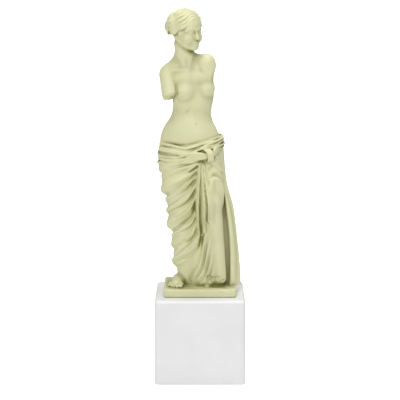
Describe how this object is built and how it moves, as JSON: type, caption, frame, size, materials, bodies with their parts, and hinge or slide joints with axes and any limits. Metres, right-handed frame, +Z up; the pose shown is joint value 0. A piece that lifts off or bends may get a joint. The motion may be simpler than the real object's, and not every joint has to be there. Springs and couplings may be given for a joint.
{
  "type": "aphrodite statuette",
  "caption": "Slender half-draped classical goddess with lost arms and knotted hair, on a thin slab fixed to a square block plinth with softened edges, for a shelf or sideboard.",
  "frame": {"origin": "middle of the block's underside, on the surface that it stands on", "axes": "+Z up, the figure's chest and the plinth's front face -Y, and +X is the figure's left, the viewer's right"},
  "size_m": [0.08, 0.08, 0.3287],
  "materials": {
    "green_resin": "matte",
    "white_block": "satin"
  },
  "bodies": {
    "root": {"figure": "green_resin", "plinth": "white_block"}
  },
  "joints": []
}
